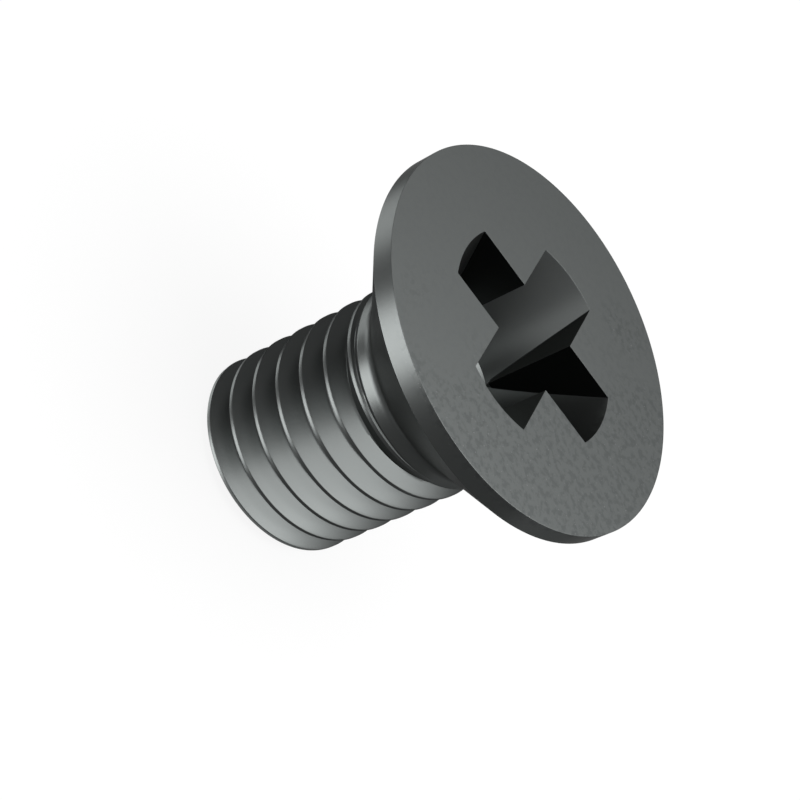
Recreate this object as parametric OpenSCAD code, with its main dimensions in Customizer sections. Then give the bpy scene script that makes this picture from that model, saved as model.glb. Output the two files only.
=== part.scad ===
// Countersunk machine screw with a cross recess, turned, pressed and thread-rolled
// from one piece of steel. It stands on its flat end: the origin is the middle of
// that end, +Z runs up the axis and out of the head, and the four wings of the
// recess lie along X and Y. Every size is in millimetres.

/* [Head] */
// Diameter of the head
head_d = 18; // [15:0.5:20]
// Included angle of the cone under the head, in degrees
head_angle = 90; // [80:1:100]
// Height of the straight band round the head
rim_h = 1; // [0.4:0.1:1.6]

/* [Shank] */
// Length over all, from the flat end to the top of the head
length = 16; // [14:0.5:60]
// Radius of the fillet between the plain neck and the cone
neck_fillet = 1; // [0.4:0.1:1.4]
// Length of the plain neck, from the cone's own corner to where the thread starts
neck_len = 0.84; // [0.7:0.02:2]
// Width of the chamfer round the flat end
end_chamfer = 0.35; // [0.1:0.05:0.6]

/* [Thread] */
// Diameter over the crests of the thread
thread_d = 9.8; // [9:0.1:10.5]
// Rise of the thread in one turn
pitch = 1.5; // [1.25:0.25:1.75]
// Included angle of the thread's flanks, in degrees
flank_angle = 60; // [55:1:65]
// Angle to the axis of the cone on which the thread runs out, in degrees
runout_angle = 30; // [20:1:45]
// Height of the middle of the groove above the flat end, on the +X side
thread_start = 0.45; // [0:0.05:1.5]

/* [Cross recess] */
// Width across the ends of the wings, at the top of the head
recess_d = 10.06; // [9:0.02:11]
// Width of one wing
wing_w = 3.48; // [2.8:0.02:4]
// Angle to the axis of the sloping ends of the wings, in degrees
wing_taper = 26.5; // [24:0.5:30]
// Width of the recess where its sloping sides meet the bottom
bottom_d = 5.08; // [4.6:0.02:5.6]
// Slope of the recess's bottom, in degrees
bottom_slope = 28; // [10:1:35]

/* [Detail] */
// Steps in one turn of the thread
turn_steps = 28; // [20:4:40]
// Sides of the round faces
round_sides = 96; // [48:8:144]

/* [Hidden] */
STEEL = [0.33, 0.34, 0.335];
OVER = 0.5;

head_r = head_d / 2;
shank_r = thread_d / 2;
cone_half = head_angle / 2;
cone_top = length - rim_h;
cone_corner = cone_top - (head_r - shank_r) / tan(cone_half);

// A basic thread: crests an eighth of the pitch wide, grooves 0.6134 of it deep
crest_w = pitch / 8;
root_r = shank_r - 0.6134 * pitch;
flank_half = flank_angle / 2;
runout_top = cone_corner - neck_len;
runout_bottom = runout_top - (shank_r - root_r) / tan(runout_angle);

taper_depth = (recess_d - bottom_d) / 2 / tan(wing_taper);
recess_depth = taper_depth + bottom_d / 2 * tan(bottom_slope);

screw();

// The whole screw, one solid
module screw() {
    color(STEEL)
    difference() {
        blank();
        thread_cut();
        cross_recess();
    }
}

// The unthreaded blank: flat end, shank, neck, cone and rim
module blank() {
    rotate_extrude($fn = round_sides) {
        polygon([
            [0, 0],
            [shank_r - end_chamfer, 0],
            [shank_r, end_chamfer],
            [shank_r, cone_corner],
            [head_r, cone_top],
            [head_r, length],
            [0, length]
        ]);
        fillet_section();
    }
}

// What the fillet adds in the corner between the neck and the cone
module fillet_section() {
    run = neck_fillet * tan(cone_half / 2);
    centre = [shank_r + neck_fillet, cone_corner - run];
    difference() {
        polygon([
            [shank_r, cone_corner],
            [shank_r, cone_corner - run],
            centre,
            [shank_r + run * sin(cone_half), cone_corner + run * cos(cone_half)]
        ]);
        translate(centre) circle(r = neck_fillet, $fn = round_sides);
    }
}

// What the thread takes away: the groove, less the core that it leaves standing
module thread_cut() {
    difference() {
        groove();
        core();
    }
}

// The solid core: root cylinder, then the cone on which the groove runs out
module core() {
    rotate_extrude($fn = round_sides)
        polygon([
            [0, -2 * pitch],
            [root_r, -2 * pitch],
            [root_r, runout_bottom],
            [shank_r + OVER, runout_top + OVER / tan(runout_angle)],
            [shank_r + OVER, runout_top + 3 * pitch],
            [0, runout_top + 3 * pitch]
        ]);
}

// A right-hand helical groove of V section, from below the flat end up into the core
module groove() {
    // Its mouth lies outside the crests, and its sharp bottom inside the core
    mouth_r = shank_r + 0.6 * crest_w;
    mouth_half = (pitch - crest_w) / 2 + (mouth_r - shank_r) * tan(flank_half);
    section = [
        [mouth_r - mouth_half / tan(flank_half), 0],
        [mouth_r, -mouth_half],
        [mouth_r, mouth_half]
    ];
    first = floor(-(thread_start / pitch + 1) * turn_steps);
    last = ceil((runout_top - thread_start) / pitch * turn_steps) + turn_steps;
    points = [
        for (i = [first : last])
            let (a = 360 * i / turn_steps, z = thread_start + pitch * i / turn_steps)
            for (c = section) [c[0] * cos(a), c[0] * sin(a), z + c[1]]
    ];
    rings = last - first;
    sides = [
        for (i = [0 : rings - 1])
            for (k = [0 : 2])
                let (p = 3 * i + k, q = 3 * i + (k + 1) % 3)
                each [[p, q, p + 3], [q, q + 3, p + 3]]
    ];
    e = 3 * rings;
    polyhedron(
        points = points,
        faces = concat([[0, 2, 1]], sides, [[e, e + 1, e + 2]]),
        convexity = 12
    );
}

// The cross recess: two crossed slots, cut off by a cone with a shallow bottom
module cross_recess() {
    intersection() {
        translate([0, 0, length - recess_depth - OVER])
            linear_extrude(recess_depth + 2 * OVER) {
                square([recess_d + 2 * OVER, wing_w], center = true);
                square([wing_w, recess_d + 2 * OVER], center = true);
            }
        rotate_extrude($fn = round_sides)
            polygon([
                [0, length - recess_depth],
                [bottom_d / 2, length - taper_depth],
                [recess_d / 2 + OVER * tan(wing_taper), length + OVER],
                [0, length + OVER]
            ]);
    }
}
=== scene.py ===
"""A countersunk machine screw in black-finished steel, standing on its flat end.

The screw's skin is worked out from its sizes: a helical shank, a lathed neck and head, and a
cross recess. Everything is in metres, with the axis on Z and the flat end at z = 0.
"""

import math

import bmesh
import bpy
import numpy as np
from mathutils import Matrix, Vector


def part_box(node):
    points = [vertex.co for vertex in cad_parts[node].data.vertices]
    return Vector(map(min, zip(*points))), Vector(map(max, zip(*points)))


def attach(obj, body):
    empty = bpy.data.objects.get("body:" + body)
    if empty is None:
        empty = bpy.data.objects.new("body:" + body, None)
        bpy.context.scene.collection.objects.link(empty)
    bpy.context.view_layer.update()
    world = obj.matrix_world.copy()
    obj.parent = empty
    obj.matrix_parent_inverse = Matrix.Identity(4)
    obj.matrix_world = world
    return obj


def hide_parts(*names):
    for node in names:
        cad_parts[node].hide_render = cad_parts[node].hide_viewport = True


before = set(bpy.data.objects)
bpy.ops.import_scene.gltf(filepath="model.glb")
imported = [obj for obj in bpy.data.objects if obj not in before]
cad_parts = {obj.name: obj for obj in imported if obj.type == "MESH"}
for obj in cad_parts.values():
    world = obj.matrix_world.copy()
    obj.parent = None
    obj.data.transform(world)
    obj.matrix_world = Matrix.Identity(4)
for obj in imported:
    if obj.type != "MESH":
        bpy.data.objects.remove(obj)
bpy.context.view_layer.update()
SCREW_LOW, SCREW_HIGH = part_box("screw")

bl_info = {
    "name": "Countersunk Machine Screw",
    "version": (1, 0, 0),
    "blender": (4, 5, 0),
    "location": "3D View > Sidebar > Screw",
    "description": "Builds a countersunk screw with a cross recess, and a small studio for it",
    "category": "Add Mesh",
}

MM = 0.001
COLUMNS = 280  # points round the screw, a multiple of 40 so that the recess's arcs and walls fit
TURN = np.linspace(0, 1, COLUMNS + 1)[None, :]  # their shares of a turn, with the seam at 0 and 1
SHARP_ANGLE = math.radians(35)
WELD = 2e-7  # points closer than this become one
SNAP = 0.012 * MM  # points of the shank's rows this close to its ends are put on them
RING_ABOVE = 0.12 * MM  # from the run-out's top up to the ring where the shank's rows end
SUPPORT = 0.03 * MM  # from a rounding to the row that keeps the surface beside it plain

# A basic thread's crest, root and groove, in pitches
CREST_WIDTH = 1 / 8
ROOT_WIDTH = 1 / 6
GROOVE_DEPTH = 0.6134

# Rows of the mesh up one side of a groove
ROOT_ROWS = np.array([0.5, 0.8, 1, 1.25, 1.6])  # about the root's corner, in half roots
FLANK_FOOT = 2.1  # in half roots
FLANK_TOP = 0.06 * MM  # short of the crest's edge
FLANK_ROWS = 10
CREST_ROWS = np.array([-0.6, -0.2, 0.2, 0.6])  # about the crest's edge, in its roundings


def length_of(name, description, millimetres):
    """A length property, given in millimetres."""
    return bpy.props.FloatProperty(
        name=name,
        description=description,
        default=millimetres * MM,
        min=0,
        precision=5,
        unit="LENGTH",
    )


def angle_of(name, description, degrees):
    """An angle property, given in degrees."""
    return bpy.props.FloatProperty(
        name=name, description=description, default=math.radians(degrees), subtype="ANGLE"
    )


def share_of(name, description, value):
    """A factor property from 0 to 1."""
    return bpy.props.FloatProperty(
        name=name, description=description, default=value, min=0, max=1, subtype="FACTOR"
    )


def colour_of(name, description, value):
    """A linear colour property."""
    return bpy.props.FloatVectorProperty(
        name=name, description=description, default=value, min=0, max=1, size=3, subtype="COLOR"
    )


def strength_of(name, description, value):
    """A brightness property, where 1 is white."""
    return bpy.props.FloatProperty(name=name, description=description, default=value, min=0)


class ScrewSizes(bpy.types.PropertyGroup):
    """Sizes of the screw"""

    head_d: length_of("Head diameter", "Diameter of the head", (SCREW_HIGH.x - SCREW_LOW.x) / MM)
    length: length_of("Length", "Length over all", (SCREW_HIGH.z - SCREW_LOW.z) / MM)
    head_half_angle: angle_of("Cone half angle", "Angle of the cone under the head to the axis", 45)
    rim_h: length_of("Rim height", "Height of the straight band round the head", 1)
    neck_fillet: length_of("Neck fillet", "Radius between the neck and the cone", 1)
    neck_len: length_of("Neck length", "From the cone's own corner down to the run-out", 0.84)
    end_chamfer: length_of("End chamfer", "Width of the chamfer round the flat end", 0.35)
    thread_d: length_of("Thread diameter", "Diameter over the crests", 9.8)
    pitch: length_of("Pitch", "Rise of the thread in one turn", 1.5)
    flank_half_angle: angle_of("Flank half angle", "Angle of a flank to the plane across the axis", 30)
    runout_angle: angle_of("Run-out angle", "Angle of the run-out cone to the axis", 30)
    thread_start: length_of("Thread start", "Height of the groove's middle on the +X side", 0.45)
    recess_d: length_of("Recess width", "Width of the recess over two wings", 10.06)
    wing_w: length_of("Wing width", "Width of one wing of the recess", 3.48)
    wing_taper: angle_of("Wing taper", "Angle of the wings' sloping ends to the axis", 26.5)
    bottom_d: length_of("Bottom width", "Width of the recess where its sloping ends stop", 5.08)
    bottom_slope: angle_of("Bottom slope", "Slope of the bottom of the recess", 28)
    edge: length_of("Edge rounding", "Radius of the head's outer edges", 0.010)
    recess_edge: length_of("Recess edge rounding", "Radius of the recess's top edge", 0.004)
    crest_blend: length_of("Crest rounding", "Depth over which a crest's edge is rounded", 0.02)
    root_blend: length_of("Root rounding", "Depth over which a root's corner is rounded", 0.06)


class ScrewFinish(bpy.types.PropertyGroup):
    """Colours, shine and grain of the screw's finish"""

    steel: colour_of("Black finish", "Colour of the finished steel", (0.125, 0.133, 0.131))
    mottle: colour_of("Mottle", "Colour of the darker mottles in the finish", (0.102, 0.109, 0.108))
    # Painted shade: a near-black colour on the recess's straight walls stands in for the shade deep in
    # the recess
    painted_wall_shade: colour_of("Painted recess shade", "Colour of the recess's straight walls", (0.025, 0.027, 0.026))
    roughness: share_of("Roughness", "Roughness of the finish", 0.34)
    grazing: share_of("Grazing shine", "Share of a bare metal's shine that is left at a low angle", 0.45)
    mottle_size: length_of("Mottle size", "Size of one mottle", 0.34)
    grain_size: length_of("Grain size", "Size of the finest grain", 0.07)
    speck: colour_of("Specks", "Colour of the pale specks in the finish", (0.190, 0.196, 0.194))
    speck_size: length_of("Speck size", "Size of one pale speck", 0.10)


class StudioLook(bpy.types.PropertyGroup):
    """Colours and strengths of the small studio"""

    floor: colour_of("Floor", "Colour of the floor", (0.9, 0.9, 0.9))
    shadow: share_of(
        "Shadow", "How much of the floor's light is the lamps', which the screw shades", 0.12
    )
    fill: strength_of("Fill", "Strength of the fill light", 0.7)
    overhead: strength_of("Overhead softbox", "Brightness of the softbox above", 2.95)
    low: strength_of("Low softbox", "Brightness of the softbox low in front on the left", 5.0)
    low_left: strength_of("Low left softbox", "Brightness of the softbox low on the left", 2.5)
    back: strength_of("Back panel", "Brightness of the panel high behind the screw", 2.4)
    dark: strength_of("Dark cards", "Brightness of the dark cards", 0.2)


# The surfaces of the screw, each as rows of points


def rounded_max(a, b, blend):
    """The larger of a and b, with the corner where they cross rounded over that depth."""
    share = np.clip(0.5 + 0.5 * (a - b) / blend, 0, 1)
    return b + (a - b) * share + blend * share * (1 - share)


def rounded_min(a, b, blend):
    """The smaller of a and b, with the corner where they cross rounded over that depth."""
    return -rounded_max(-a, -b, blend)


def derived(s):
    """The sizes that follow from the driving ones, in metres."""
    shank_r = s.thread_d / 2
    root_r = shank_r - GROOVE_DEPTH * s.pitch
    cone_top = s.length - s.rim_h
    cone_corner = cone_top - (s.head_d / 2 - shank_r) / math.tan(s.head_half_angle)
    runout_top = cone_corner - s.neck_len
    return {
        "head_r": s.head_d / 2,
        "shank_r": shank_r,
        "root_r": root_r,
        "cone_top": cone_top,
        "cone_corner": cone_corner,
        "runout_bottom": runout_top - (shank_r - root_r) / math.tan(s.runout_angle),
        "half_mouth": (1 - CREST_WIDTH) / 2 * s.pitch,
        "half_root": ROOT_WIDTH / 2 * s.pitch,
        "ring_z": runout_top + RING_ABOVE,
        "taper_depth": (s.recess_d - s.bottom_d) / 2 / math.tan(s.wing_taper),
    }


def shank_radius(s, d, turn, z):
    """Radius of the shank at a share of a turn and a height. On a flank it is the crest's radius,
    less the way in from the groove's mouth over the tangent of the flank's angle. It is never under
    the core, which is the root and then the run-out cone, nor over the blank, which has a chamfer
    at the end, and the corners where these cross are rounded."""
    steps = (z - s.thread_start) / s.pitch - turn
    off_middle = np.abs(steps - np.round(steps)) * s.pitch
    flank = d["shank_r"] + (off_middle - d["half_mouth"]) / math.tan(s.flank_half_angle)
    core = d["root_r"] + np.maximum(z - d["runout_bottom"], 0) * math.tan(s.runout_angle)
    blank = rounded_min(d["shank_r"], d["shank_r"] - s.end_chamfer + z, s.crest_blend)
    return rounded_min(rounded_max(flank, core, s.root_blend), blank, s.crest_blend)


def circle_points(radius, turn, z):
    """Points on circles about the axis: the radius times the cosine and the sine of the angle, which
    is that share of a full turn, and the height."""
    angle = 2 * math.pi * turn
    radius, angle, z = np.broadcast_arrays(radius, angle, z)
    return np.stack([radius * np.cos(angle), radius * np.sin(angle), z], -1)


def rows_over_pitch(s, d):
    """Heights of the rows over one pitch: a groove's middle, one side of the groove, the crest's
    middle, and that side mirrored about it."""
    root = d["half_root"] * ROOT_ROWS
    flank = np.linspace(FLANK_FOOT * d["half_root"], d["half_mouth"] - FLANK_TOP, FLANK_ROWS)
    crest = d["half_mouth"] + s.crest_blend * CREST_ROWS
    side = np.concatenate([root, flank, crest])
    return np.concatenate([[0], side, [s.pitch / 2], s.pitch - side[::-1]])


def shank_rows(s, d):
    """The threaded shank. Each row follows the thread: its height rises one pitch in a turn, so that
    crests and roots lie along rows, and shank_radius gives its radius. Rows are cut off at the flat
    end and at a ring in the plain neck."""
    first = math.floor(-s.thread_start / s.pitch) - 1
    last = math.ceil((d["ring_z"] - s.thread_start) / s.pitch)
    middles = s.thread_start + s.pitch * np.arange(first, last + 1)
    height = (middles[:, None] + rows_over_pitch(s, d)[None, :]).reshape(-1, 1)
    z = height + s.pitch * TURN
    z = np.where(z < SNAP, 0, np.where(z > d["ring_z"] - SNAP, d["ring_z"], z))
    return circle_points(shank_radius(s, d, TURN, z), TURN, z)


def end_rows(s, d):
    """The flat end, as rings at shares of the shank's radius there, from the centre out."""
    share = np.array([0, 0.35, 0.7, 0.93, 0.985, 1])[:, None]
    return circle_points(shank_radius(s, d, TURN, np.zeros_like(TURN)) * share, TURN, 0)


def arc(centre, radius, start, end, steps):
    """Radius and height along a round stretch of a profile: the centre, plus the radius times the
    cosine and the sine of each angle between two, in degrees."""
    angle = np.radians(np.linspace(start, end, steps + 1))
    return np.stack([centre[0] + radius * np.cos(angle), centre[1] + radius * np.sin(angle)], -1)


def head_profile(s, d):
    """Radius and height from the neck's ring to the flat top: a straight neck, the arc of the
    fillet, the straight cone, and the straight rim between two small arcs."""
    half = s.head_half_angle
    fillet = (d["shank_r"] + s.neck_fillet, d["cone_corner"] - s.neck_fillet * math.tan(half / 2))
    low_centre = (d["head_r"] - s.edge, d["cone_top"] + s.edge * math.tan(half / 2))
    top_centre = (d["head_r"] - s.edge, s.length - s.edge)
    up_cone = np.array([math.sin(half), math.cos(half)])
    fillet_arc = arc(fillet, s.neck_fillet, 180, 180 - math.degrees(half), steps=10)
    low_arc = arc(low_centre, s.edge, -math.degrees(half), 0, steps=3)
    top_arc = arc(top_centre, s.edge, 0, 90, steps=4)
    cone = np.linspace(fillet_arc[-1], low_arc[0] - SUPPORT * up_cone, num=6)[1:]
    return np.concatenate(
        [
            [[d["shank_r"], d["ring_z"]]],
            [[d["shank_r"], fillet[1] - SUPPORT]],
            fillet_arc,
            cone,
            low_arc,
            [low_arc[-1] + [0, SUPPORT]],
            [top_arc[0] - [0, SUPPORT]],
            top_arc,
            [top_arc[-1] - [SUPPORT, 0]],
        ]
    )


def cross_outline(half_w, end_r):
    """Outline of the cross at several depths at once. A wing's end is an arc of radius end_r about
    the axis, as far as the angle whose sine is half_w over end_r. From there its walls run straight,
    half_w from the axis's planes, to the corner between two wings. Where the arcs would meet, half_w
    is end_r over the square root of 2, and the walls shrink to nothing."""
    half_w = np.minimum(half_w, end_r / math.sqrt(2))[:, None]
    end_r = end_r[:, None]
    reach = np.sqrt(np.maximum(end_r**2 - half_w**2, 0))
    corner = np.arctan2(half_w, reach)
    quarter_n = COLUMNS // 4
    arc_n, wall_n = quarter_n // 5, quarter_n * 3 // 10
    sweep = np.arange(arc_n) / arc_n
    along = np.arange(wall_n) / wall_n
    first_arc = np.stack([end_r * np.cos(corner * sweep), end_r * np.sin(corner * sweep)], -1)
    first_wall = np.stack(np.broadcast_arrays(reach + (half_w - reach) * along, half_w), -1)
    next_wall = np.stack(np.broadcast_arrays(half_w, half_w + (reach - half_w) * along), -1)
    back = math.pi / 2 - corner * (1 - sweep)
    next_arc = np.stack([end_r * np.cos(back), end_r * np.sin(back)], -1)
    quarter = np.concatenate([first_arc, first_wall, next_wall, next_arc], 1)
    x, y = quarter[..., 0], quarter[..., 1]
    turned = [(x, y), (-y, x), (-x, -y), (y, -x), (x[:, :1], y[:, :1])]
    return np.stack([np.concatenate([t[k] for t in turned], 1) for k in (0, 1)], -1)


def recess_rows(s, d):
    """The recess, as outlines of the cross. Over the rounded edge the outline shrinks by one less
    the sine of a quarter turn's angle and sinks by one less its cosine, in roundings. Down a wing's
    sloping end the radius shrinks by the depth times the taper's tangent, and on the bottom by the
    further depth over the slope's tangent, to one point."""
    half_w, end_r, e = s.wing_w / 2, s.recess_d / 2, s.recess_edge
    bend = np.radians(np.linspace(0, 90, num=4))
    grow = e * (1 - np.sin(bend))
    # The rows two and six roundings down keep the walls plain
    down = np.linspace(6 * e, d["taper_depth"] - e, num=14)
    wall_z = -np.concatenate([[2 * e], down, [d["taper_depth"]]])
    wall_r = end_r + wall_z * math.tan(s.wing_taper)
    corner_r = half_w * math.sqrt(2)
    narrowing = np.array([0.97, 0.9, 0.75, 0.6, 0.45, 0.3, 0.15, 0.05, 0])
    to_corner = np.linspace(s.bottom_d / 2, corner_r, num=4)[1:]
    bottom_r = np.concatenate([to_corner, corner_r * narrowing])
    bottom_z = -d["taper_depth"] - (s.bottom_d / 2 - bottom_r) * math.tan(s.bottom_slope)
    radii = np.concatenate([end_r + grow, wall_r, bottom_r])
    widths = np.concatenate([half_w + grow, np.full(len(wall_r) + len(bottom_r), half_w)])
    depths = np.concatenate([-e * (1 - np.cos(bend)), wall_z, bottom_z])
    flat = cross_outline(widths, radii)
    z = np.broadcast_to(s.length + depths[:, None, None], flat.shape[:2] + (1,))
    return np.concatenate([flat, z], -1)


def head_rows(s, d):
    """Neck, cone and rim as circles with the profile's radii and heights, then the flat top, whose
    rows lie at shares of the way from the last circle to the recess's outline, and the recess."""
    profile = head_profile(s, d)
    circles = circle_points(profile[:, :1], TURN, profile[:, 1:])
    recess = recess_rows(s, d)
    share = np.array([0.08, 0.25, 0.45, 0.65, 0.82, 0.93, 0.985, 0.997])[:, None, None]
    top = circles[-1] * (1 - share) + recess[0] * share
    return np.concatenate([circles, top, recess])


def quads_of(count, across):
    """The quads of a grid of points with that many rows and that many points in a row."""
    corner = (np.arange(count - 1)[:, None] * across + np.arange(across - 1)).ravel()
    return np.stack([corner, corner + 1, corner + across + 1, corner + across], -1)


def mesh_from_rows(name, sheets):
    """One closed mesh from sheets of rows: each sheet is a grid of quads, and points that coincide
    between and inside sheets are welded, which also closes the seam and the poles."""
    points, quads, start = [], [], 0
    for rows in sheets:
        quads.append(start + quads_of(*rows.shape[:2]))
        points.append(rows.reshape(-1, 3))
        start += rows.shape[0] * rows.shape[1]
    mesh = bpy.data.meshes.new(name)
    mesh.from_pydata(np.concatenate(points).tolist(), [], np.concatenate(quads).tolist())
    shell = bmesh.new()
    shell.from_mesh(mesh)
    bmesh.ops.remove_doubles(shell, verts=shell.verts, dist=WELD)
    bmesh.ops.dissolve_degenerate(shell, edges=shell.edges, dist=WELD)
    open_edges = sum(len(edge.link_faces) != 2 for edge in shell.edges)
    if open_edges:
        raise RuntimeError(f"{name} has {open_edges} edges without two faces")
    shell.to_mesh(mesh)
    shell.free()
    mesh.shade_smooth()
    mesh.set_sharp_from_angle(angle=SHARP_ANGLE)
    return mesh


# Shader maths


class Socket:
    """A shader value that can be written in an expression, such as 1 - mask * 0.5."""

    def __init__(self, nodes, source):
        self.nodes, self.source = nodes, source

    def __add__(self, other):
        return self.nodes.maths("ADD", self, other)

    def __radd__(self, other):
        return self.nodes.maths("ADD", other, self)

    def __sub__(self, other):
        return self.nodes.maths("SUBTRACT", self, other)

    def __rsub__(self, other):
        return self.nodes.maths("SUBTRACT", other, self)

    def __mul__(self, other):
        return self.nodes.maths("MULTIPLY", self, other)

    def __rmul__(self, other):
        return self.nodes.maths("MULTIPLY", other, self)


class Nodes:
    """The node tree of a material or world, built up from expressions."""

    def __init__(self, owner):
        owner.use_nodes = True
        self.tree = owner.node_tree
        self.tree.nodes.clear()

    def add(self, kind, settings=None, values=None, output=0):
        """A node of a kind with its settings, and the values or links of its sockets."""
        node = self.tree.nodes.new(kind)
        for key, value in (settings or {}).items():
            setattr(node, key, value)
        for key, value in (values or {}).items():
            if isinstance(value, Socket):
                self.tree.links.new(value.source, node.inputs[key])
            else:
                node.inputs[key].default_value = value
        return Socket(self, node.outputs[output]) if node.outputs else node

    def ramp(self, value, low, high):
        """0 below low, 1 above high, and a smooth rise between them."""
        return self.add(
            "ShaderNodeMapRange",
            {"interpolation_type": "SMOOTHSTEP"},
            {"Value": value, "From Min": low, "From Max": high},
        )

    def dot(self, first, second):
        """How far one vector reaches along another."""
        return self.add(
            "ShaderNodeVectorMath", {"operation": "DOT_PRODUCT"}, {0: first, 1: second}, output=1
        )

    def maths(self, operation, first, second):
        """Two values put together by a Math node's operation, such as ADD or MINIMUM."""
        return self.add("ShaderNodeMath", {"operation": operation}, {0: first, 1: second})

    def gap(self, value, other):
        """How far a value is from another."""
        return self.add("ShaderNodeMath", {"operation": "ABSOLUTE"}, {0: value - other})

    def blend(self, share, first, second):
        """A colour between two others."""
        return self.add(
            "ShaderNodeMix", {"data_type": "RGBA"}, {"Factor": share, "A": first, "B": second}, output=2
        )

    def noise(self, place, size, detail, roughness=0.5):
        """A noise value from about 0 to 1, whose patches are about that size, in metres."""
        return self.add(
            "ShaderNodeTexNoise",
            {},
            {"Vector": place, "Scale": 1 / size, "Detail": detail, "Roughness": roughness},
        )


def solid(colour):
    """An RGB colour as RGBA."""
    return (*colour, 1.0)


def painted_wall_shade_mask(nodes, place, s, d):
    """1 on the straight walls of the recess, which lie half a wing's width from the axis's planes,
    and 0 everywhere else: the mask of the painted shade on those walls."""
    near, far = 0.01 * MM, 0.03 * MM
    above_neck = d["cone_corner"] + 0.3 * MM
    off_axis = nodes.add("ShaderNodeVectorMath", {"operation": "ABSOLUTE"}, {0: place})
    x, y = nodes.dot(off_axis, (1, 0, 0)), nodes.dot(off_axis, (0, 1, 0))
    z = nodes.dot(place, (0, 0, 1))
    off_wall = nodes.maths("MINIMUM", nodes.gap(x, s.wing_w / 2), nodes.gap(y, s.wing_w / 2))
    on_wall = 1 - nodes.ramp(off_wall, near, far)
    inside = 1 - nodes.ramp(x * x + y * y, (s.recess_d / 2) ** 2, (s.recess_d / 2 + far) ** 2)
    below_top = 1 - nodes.ramp(z, s.length - far, s.length - near)
    return on_wall * inside * below_top * nodes.ramp(z, above_neck, above_neck + far)


MOTTLED_SIDE = (0.80, -0.60, 0.0)  # the side of the head that the mottles are thickest on
MOTTLE_FADE = 14 * MM  # over which they thin out across the head
MOTTLE_LEAST = 0.15  # how much of them is left on the other side
MOTTLE_PATCH = 12  # size of a patch of mottles, in mottles
# The noise's values between which patches, mottles and specks fade in
PATCH_EDGE = (0.45, 0.70)
MOTTLE_EDGE = (0.45, 0.62)
SPECK_EDGE = (0.70, 0.76)
TOP_FADE = 0.6 * MM  # below the flat top, over which all three fade out down the rim
ROUGHNESS_SPREAD = 0.06  # between the smoothest and the roughest grain
MOTTLE_HEIGHT = 0.01 * MM
GRAIN_HEIGHT = 0.25  # in a mottle's heights
BUMP_STRENGTH = 0.10


def black_steel(finish, s, d):
    """Black-finished steel: satin metal with a fine grain, painted shade on the recess's walls, and
    on the flat top faint mottles and pale specks where the bath left it uneven."""
    material = bpy.data.materials.new("black_finished_steel")
    nodes = Nodes(material)
    place = nodes.add("ShaderNodeTexCoord", output=3)
    grain = nodes.noise(place, finish.grain_size, detail=2.0)
    mottles = nodes.noise(place, finish.mottle_size, detail=3.0, roughness=0.6)
    patches = nodes.noise(place, MOTTLE_PATCH * finish.mottle_size, detail=1.0)
    across = nodes.dot(place, MOTTLED_SIDE) * (1 / MOTTLE_FADE)
    on_top = nodes.ramp(nodes.dot(place, (0, 0, 1)), s.length - TOP_FADE, s.length)
    patchy = MOTTLE_LEAST + (1 - MOTTLE_LEAST) * nodes.ramp(patches + across, *PATCH_EDGE)
    uneven = patchy * on_top
    specks = nodes.ramp(nodes.noise(place, finish.speck_size, detail=1.0), *SPECK_EDGE) * uneven
    colour = solid(finish.steel)
    colour = nodes.blend(nodes.ramp(mottles, *MOTTLE_EDGE) * uneven, colour, solid(finish.mottle))
    colour = nodes.blend(specks, colour, solid(finish.speck))
    # Painted shade: the recess's straight walls get a near-black colour for the shade deep in the recess
    colour = nodes.blend(painted_wall_shade_mask(nodes, place, s, d), colour, solid(finish.painted_wall_shade))
    height = mottles * uneven + GRAIN_HEIGHT * grain
    bump = {"Strength": BUMP_STRENGTH, "Distance": MOTTLE_HEIGHT, "Height": height}
    values = {
        "Base Color": colour,
        "Metallic": 1.0,
        "Roughness": finish.roughness - ROUGHNESS_SPREAD / 2 + ROUGHNESS_SPREAD * grain,
        "Specular Tint": solid([finish.grazing] * 3),
        "Normal": nodes.add("ShaderNodeBump", {}, bump),
    }
    skin = nodes.add("ShaderNodeBsdfPrincipled", {}, values)
    nodes.add("ShaderNodeOutputMaterial", {}, {"Surface": skin})
    return material


class SCREW_OT_build_screw(bpy.types.Operator):
    """Builds the screw in place of its plain solid"""

    bl_idname = "screw.build_screw"
    bl_label = "Build the screw"
    bl_options = {"REGISTER", "UNDO"}

    def execute(self, context):
        sizes, finish = context.scene.screw_sizes, context.scene.screw_finish
        d = derived(sizes)
        mesh = mesh_from_rows(
            "machine_screw", [end_rows(sizes, d), shank_rows(sizes, d), head_rows(sizes, d)]
        )
        mesh.materials.append(black_steel(finish, sizes, d))
        screw = bpy.data.objects.new("machine_screw", mesh)
        context.scene.collection.objects.link(screw)
        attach(screw, "root")
        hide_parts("screw")
        return {"FINISHED"}


# The studio. Azimuths and elevations are in degrees.

FLOOR_HALF = 1500 * MM
DOME_RADIUS = 500 * MM
SOFTBOX_DISTANCE = 300 * MM
SOFTBOX_AIM = 10 * MM  # height on the screw's axis that the softboxes face
# Softboxes: azimuth, elevation and size
OVERHEAD_SOFTBOX = (-18, 72, 300 * MM)
LOW_SOFTBOX = (-141, -39, 170 * MM)
LOW_LEFT_SOFTBOX = (143, -38, 180 * MM)
# Rings on the floor: inner and outer radius, height, two azimuths, and how many times as bright
# as a dark card
FLOOR_CARDS = {
    "floor_card": (6 * MM, 350 * MM, 0.10 * MM, 0, 360, 1.0),
    "back_floor_card": (15 * MM, 350 * MM, 0.15 * MM, -30, 122, 2.3),
    "inner_floor_card": (6 * MM, 15 * MM, 0.15 * MM, 20, 160, 0.3),
}
# Patches of the dome: two azimuths and two elevations
DARK_CARDS = {
    "left_card": ((102, 188), (0, 66)),
    "back_card": ((20, 102), (0, 30)),
    "front_card": ((-95, -25), (0, 28)),
}
BACK_PANEL = ((10, 72), (40, 66))


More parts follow.
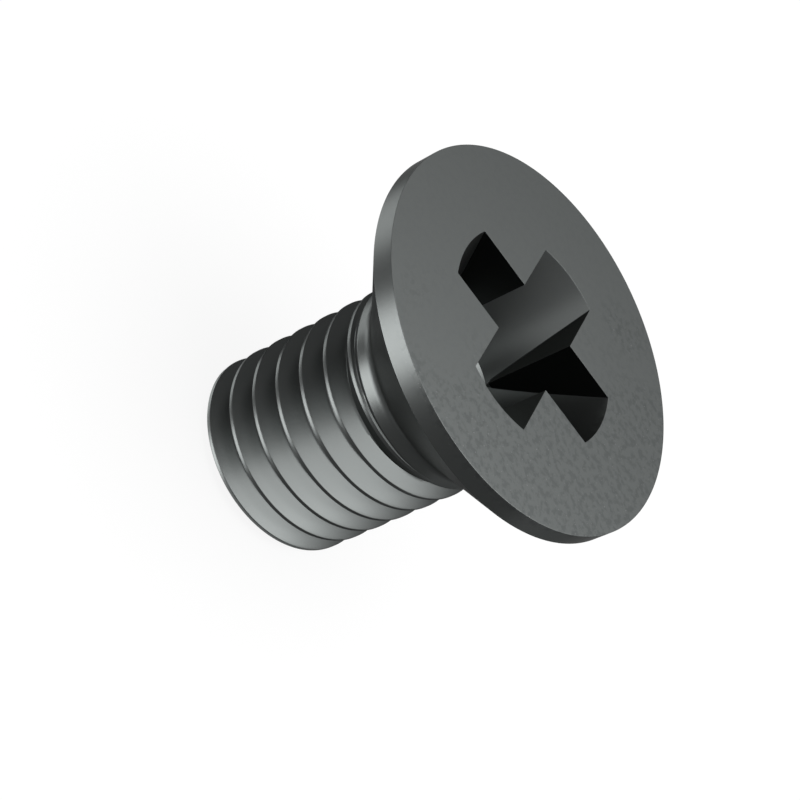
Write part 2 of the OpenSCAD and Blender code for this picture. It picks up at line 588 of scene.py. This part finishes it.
def seen_directly(nodes):
    """1 for what the camera, a reflection or a glass sees, and 0 for the light that a surface gets."""
    path = nodes.add("ShaderNodeLightPath")
    outputs = path.source.node.outputs
    camera = Socket(nodes, outputs["Is Camera Ray"])
    glossy = Socket(nodes, outputs["Is Glossy Ray"])
    through = Socket(nodes, outputs["Is Transmission Ray"])
    return nodes.maths("MAXIMUM", nodes.maths("MAXIMUM", camera, glossy), through)


def white_world(look):
    """A world that is white to look at and gives a plain soft fill."""
    world = bpy.data.worlds.new("white_studio")
    nodes = Nodes(world)
    direct = seen_directly(nodes)
    strength = look.fill + (1 - look.fill) * direct
    shade = nodes.add("ShaderNodeBackground", {}, {"Color": (1, 1, 1, 1), "Strength": strength})
    nodes.add("ShaderNodeOutputWorld", {}, {"Surface": shade})
    bpy.context.scene.world = world


def pale_floor(look):
    """A wide pale floor that looks white and keeps a soft shadow of what stands on it."""
    corners = FLOOR_HALF * np.array([(-1, -1, 0), (1, -1, 0), (1, 1, 0), (-1, 1, 0)])
    mesh = bpy.data.meshes.new("pale_floor")
    mesh.from_pydata(corners.tolist(), [], [(0, 1, 2, 3)])
    floor = bpy.data.objects.new("pale_floor", mesh)
    bpy.context.scene.collection.objects.link(floor)
    material = bpy.data.materials.new("pale_floor")
    nodes = Nodes(material)
    lit = nodes.add("ShaderNodeBsdfDiffuse", {}, {"Color": solid(look.floor)})
    white = nodes.add("ShaderNodeEmission", {}, {"Color": (1, 1, 1, 1), "Strength": 1.0})
    share = (1 - look.shadow) * seen_directly(nodes)
    mixed = nodes.add("ShaderNodeMixShader", {}, {0: share, 1: lit, 2: white})
    nodes.add("ShaderNodeOutputMaterial", {}, {"Surface": mixed})
    mesh.materials.append(material)
    return floor


def card(name, rows, strength):
    """A studio card that only reflections see: a grid of points that shines evenly. A strength
    under 1 makes it a dark card before the white room, and over 1 a lit panel."""
    mesh = bpy.data.meshes.new(name)
    mesh.from_pydata(rows.reshape(-1, 3).tolist(), [], quads_of(*rows.shape[:2]).tolist())
    holder = bpy.data.objects.new(name, mesh)
    bpy.context.scene.collection.objects.link(holder)
    material = bpy.data.materials.new(name)
    nodes = Nodes(material)
    glow = nodes.add("ShaderNodeEmission", {}, {"Color": (1, 1, 1, 1), "Strength": strength})
    nodes.add("ShaderNodeOutputMaterial", {}, {"Surface": glow})
    mesh.materials.append(material)
    holder.visible_camera = holder.visible_diffuse = False
    holder.visible_shadow = holder.visible_transmission = False


def ring_rows(inner, outer, z, start, end):
    """A flat ring about the axis, or the part of one between two azimuths: an inner and an outer
    circle at one height."""
    turn = np.linspace(start, end, num=73)[None, :] / 360
    return circle_points(np.array([[inner], [outer]]), turn, z)


def dome_rows(azimuths, elevations):
    """A patch of a dome round the screw, between two azimuths and two elevations: circles with the
    dome's radius times the elevation's cosine, at that radius times its sine."""
    turn = np.linspace(*azimuths, num=17)[None, :] / 360
    rise = np.radians(np.linspace(*elevations, num=9))[:, None]
    return circle_points(DOME_RADIUS * np.cos(rise), turn, DOME_RADIUS * np.sin(rise))


def softbox(name, azimuth, elevation, size, radiance):
    """A square area lamp that faces the screw from an azimuth and an elevation."""
    lamp = bpy.data.lights.new(name, "AREA")
    lamp.shape, lamp.size, lamp.energy = "SQUARE", size, radiance * math.pi * size**2
    holder = bpy.data.objects.new(name, lamp)
    turn, rise = math.radians(azimuth), math.radians(elevation)
    away = Vector((math.cos(rise) * math.cos(turn), math.cos(rise) * math.sin(turn), math.sin(rise)))
    holder.location = SOFTBOX_DISTANCE * away + Vector((0, 0, SOFTBOX_AIM))
    holder.rotation_euler = away.to_track_quat("Z", "Y").to_euler()
    holder.visible_camera = False
    bpy.context.scene.collection.objects.link(holder)
    return holder


def light_only(lamp, lit, blocker):
    """Keeps a lamp's light to one object, with only one object in its way. The dark card under
    the screw blocks nothing, so with that one the light comes up as if off a shining floor."""
    for use, each in (("receiver", lit), ("blocker", blocker)):
        group = bpy.data.collections.new(f"{lamp.name}_{use}")
        group.objects.link(each)
        setattr(lamp.light_linking, f"{use}_collection", group)


# The camera, fitted to the photograph: its place, the picture's right and up, and its lens and
# sensor width in millimetres
CAMERA_PLACE = (-0.028878, -0.075757, 0.068272)
CAMERA_RIGHT = (0.58740, 0.35476, 0.72740)
CAMERA_UP = (-0.75712, 0.55838, 0.33908)
CAMERA_LENS = 100.69
CAMERA_SENSOR = 36
CAMERA_NEAR = 1 * MM  # nearer than this the camera sees nothing


def photo_camera():
    """The camera at the photograph's place and roll."""
    camera = bpy.data.cameras.new("photo_camera")
    camera.lens, camera.sensor_width, camera.clip_start = CAMERA_LENS, CAMERA_SENSOR, CAMERA_NEAR
    holder = bpy.data.objects.new("photo_camera", camera)
    right, up = Vector(CAMERA_RIGHT).normalized(), Vector(CAMERA_UP).normalized()
    turned = Matrix((right, up, right.cross(up))).transposed()
    holder.matrix_world = Matrix.Translation(CAMERA_PLACE) @ turned.to_4x4()
    bpy.context.scene.collection.objects.link(holder)
    bpy.context.scene.camera = holder


class SCREW_OT_build_stage(bpy.types.Operator):
    """Builds the pale floor, the cards, the softboxes and the camera"""

    bl_idname = "screw.build_stage"
    bl_label = "Build the stage"
    bl_options = {"REGISTER", "UNDO"}

    def execute(self, context):
        look = context.scene.screw_studio
        white_world(look)
        floor = pale_floor(look)
        for name, (*ring, share) in FLOOR_CARDS.items():
            card(name, ring_rows(*ring), share * look.dark)
        for name, patch in DARK_CARDS.items():
            card(name, dome_rows(*patch), look.dark)
        card("back_panel", dome_rows(*BACK_PANEL), look.back)
        screw, under = bpy.data.objects["machine_screw"], bpy.data.objects["floor_card"]
        light_only(softbox("floor_softbox", *OVERHEAD_SOFTBOX, look.overhead), floor, screw)
        light_only(softbox("screw_softbox", *OVERHEAD_SOFTBOX, look.overhead), screw, floor)
        light_only(softbox("low_softbox", *LOW_SOFTBOX, look.low), screw, under)
        light_only(softbox("low_left_softbox", *LOW_LEFT_SOFTBOX, look.low_left), screw, under)
        photo_camera()
        context.scene.view_settings.view_transform = "Standard"
        return {"FINISHED"}


class SCREW_PT_panel(bpy.types.Panel):
    """Lists the builders"""

    bl_idname = "SCREW_PT_panel"
    bl_label = "Machine screw"
    bl_space_type = "VIEW_3D"
    bl_region_type = "UI"
    bl_category = "Screw"

    def draw(self, context):
        for operator in (SCREW_OT_build_screw, SCREW_OT_build_stage):
            self.layout.operator(operator.bl_idname)


CLASSES = (
    ScrewSizes,
    ScrewFinish,
    StudioLook,
    SCREW_OT_build_screw,
    SCREW_OT_build_stage,
    SCREW_PT_panel,
)


def register():
    """Adds the classes, and a group of settings for the screw, its finish and the studio."""
    for cls in CLASSES:
        bpy.utils.register_class(cls)
    bpy.types.Scene.screw_sizes = bpy.props.PointerProperty(type=ScrewSizes)
    bpy.types.Scene.screw_finish = bpy.props.PointerProperty(type=ScrewFinish)
    bpy.types.Scene.screw_studio = bpy.props.PointerProperty(type=StudioLook)


def unregister():
    """Takes away what register added."""
    del bpy.types.Scene.screw_sizes, bpy.types.Scene.screw_finish, bpy.types.Scene.screw_studio
    for cls in reversed(CLASSES):
        bpy.utils.unregister_class(cls)


def main():
    """Builds the screw and its studio."""
    register()
    bpy.ops.screw.build_screw()
    bpy.ops.screw.build_stage()


if __name__ == "__main__":
    main()
